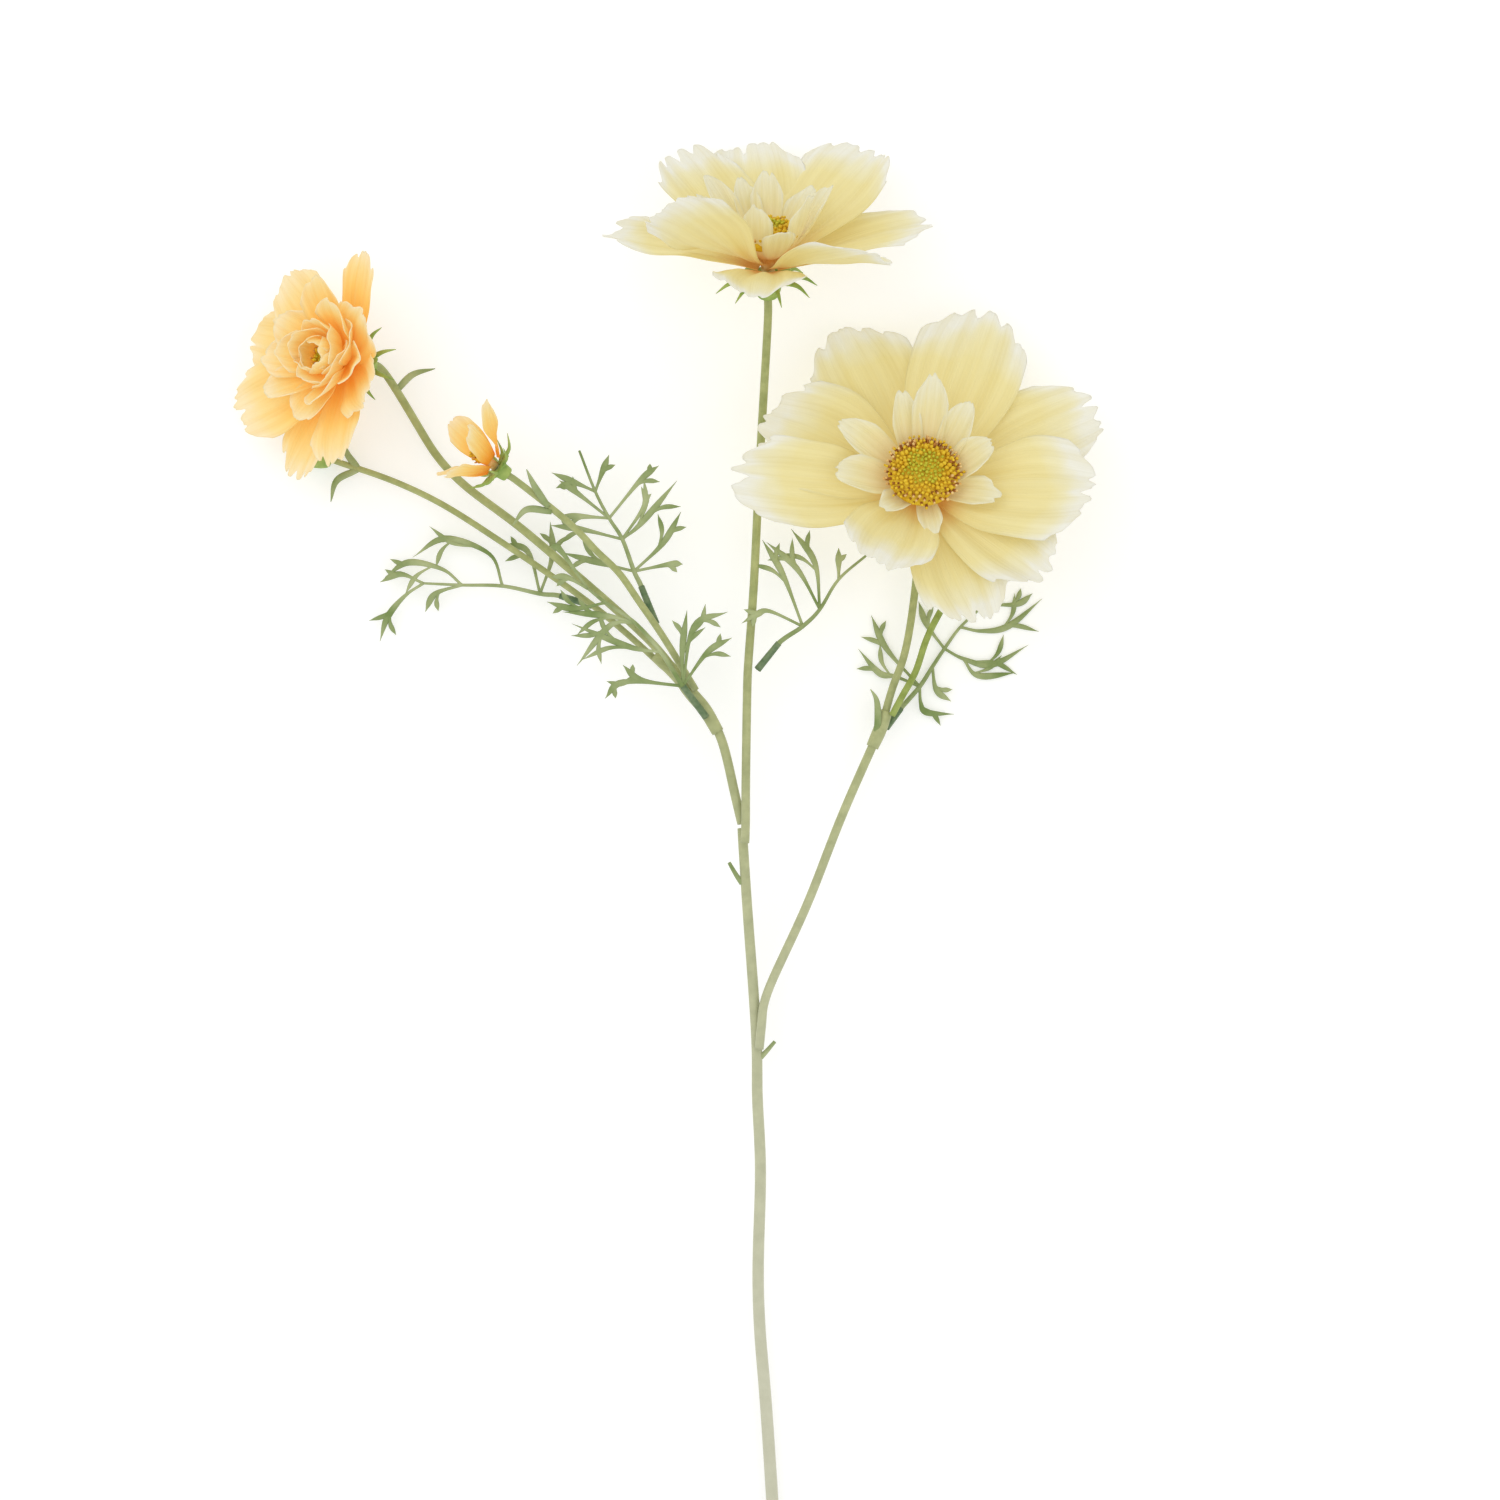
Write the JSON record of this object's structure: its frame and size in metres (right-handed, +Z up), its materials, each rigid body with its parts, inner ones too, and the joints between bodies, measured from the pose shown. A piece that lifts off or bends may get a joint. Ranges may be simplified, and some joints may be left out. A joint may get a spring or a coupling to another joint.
{
  "type": "artificial cosmos flower spray",
  "caption": "Forked stem with open pleated blooms, a half-open flower, buds and fern-like leaves, lying down as cut",
  "frame": {"origin": "middle of the footprint on the surface that the spray lies on", "axes": "+Y along the stem from the cut end to the blooms, +Z up from the surface, +X to the right of the blooms seen from above"},
  "size_m": [0.2442, 0.4486, 0.0728],
  "materials": {
    "petal_fabric": "butter yellow pleated fabric, near white at the tips and apricot at the claw",
    "golden_fabric": "golden yellow pleated fabric, orange at the claw and cream at the tips",
    "centre_flock": "yellow florets with a green middle and a rust brown rim",
    "stem_plastic": "soft matt green, paler and greyer towards the cut end",
    "leaf_plastic": "dusty sage green moulded leaf, darker at its root",
    "calyx_plastic": "fresh green moulded calyx"
  },
  "bodies": {
    "root": {"front_leaf": "leaf_plastic", "left_bloom_calyx": "calyx_plastic", "left_bloom_centre": "centre_flock", "left_bloom_inner_ring": "golden_fabric", "left_bloom_middle_ring": "golden_fabric", "left_bloom_petal_1": "golden_fabric", "left_bloom_petal_2": "golden_fabric", "left_bloom_petal_3": "golden_fabric", "left_bloom_petal_4": "golden_fabric", "left_bloom_petal_5": "golden_fabric", "left_bloom_petal_6": "golden_fabric", "left_bloom_petal_7": "golden_fabric", "left_bloom_petal_8": "golden_fabric", "left_bloom_stalk": "stem_plastic", "left_branch": "stem_plastic", "left_bud_calyx": "calyx_plastic", "left_bud_petals": "golden_fabric", "left_bud_stalk": "stem_plastic", "left_leaf": "leaf_plastic", "main_stem": "stem_plastic", "right_bloom_calyx": "calyx_plastic", "right_bloom_centre": "centre_flock", "right_bloom_inner_ring": "petal_fabric", "right_bloom_petal_1": "petal_fabric", "right_bloom_petal_2": "petal_fabric", "right_bloom_petal_3": "petal_fabric", "right_bloom_petal_4": "petal_fabric", "right_bloom_petal_5": "petal_fabric", "right_bloom_petal_6": "petal_fabric", "right_bloom_petal_7": "petal_fabric", "right_bloom_petal_8": "petal_fabric", "right_bloom_petal_9": "petal_fabric", "right_bloom_stalk": "stem_plastic", "right_branch": "stem_plastic", "right_bud_calyx": "calyx_plastic", "right_bud_petals": "golden_fabric", "right_bud_stalk": "stem_plastic", "right_leaf": "leaf_plastic", "small_flower_calyx": "calyx_plastic", "small_flower_centre": "centre_flock", "small_flower_petal_1": "golden_fabric", "small_flower_petal_2": "golden_fabric", "small_flower_petal_3": "golden_fabric", "small_flower_petal_4": "golden_fabric", "small_flower_petal_5": "golden_fabric", "small_flower_stalk": "stem_plastic", "top_bloom_calyx": "calyx_plastic", "top_bloom_centre": "centre_flock", "top_bloom_inner_ring": "petal_fabric", "top_bloom_petal_1": "petal_fabric", "top_bloom_petal_2": "petal_fabric", "top_bloom_petal_3": "petal_fabric", "top_bloom_petal_4": "petal_fabric", "top_bloom_petal_5": "petal_fabric", "top_bloom_petal_6": "petal_fabric", "top_bloom_petal_7": "petal_fabric", "top_bloom_petal_8": "petal_fabric", "top_branch": "stem_plastic", "top_branch_leaf": "leaf_plastic", "upper_leaf": "leaf_plastic"}
  },
  "joints": []
}
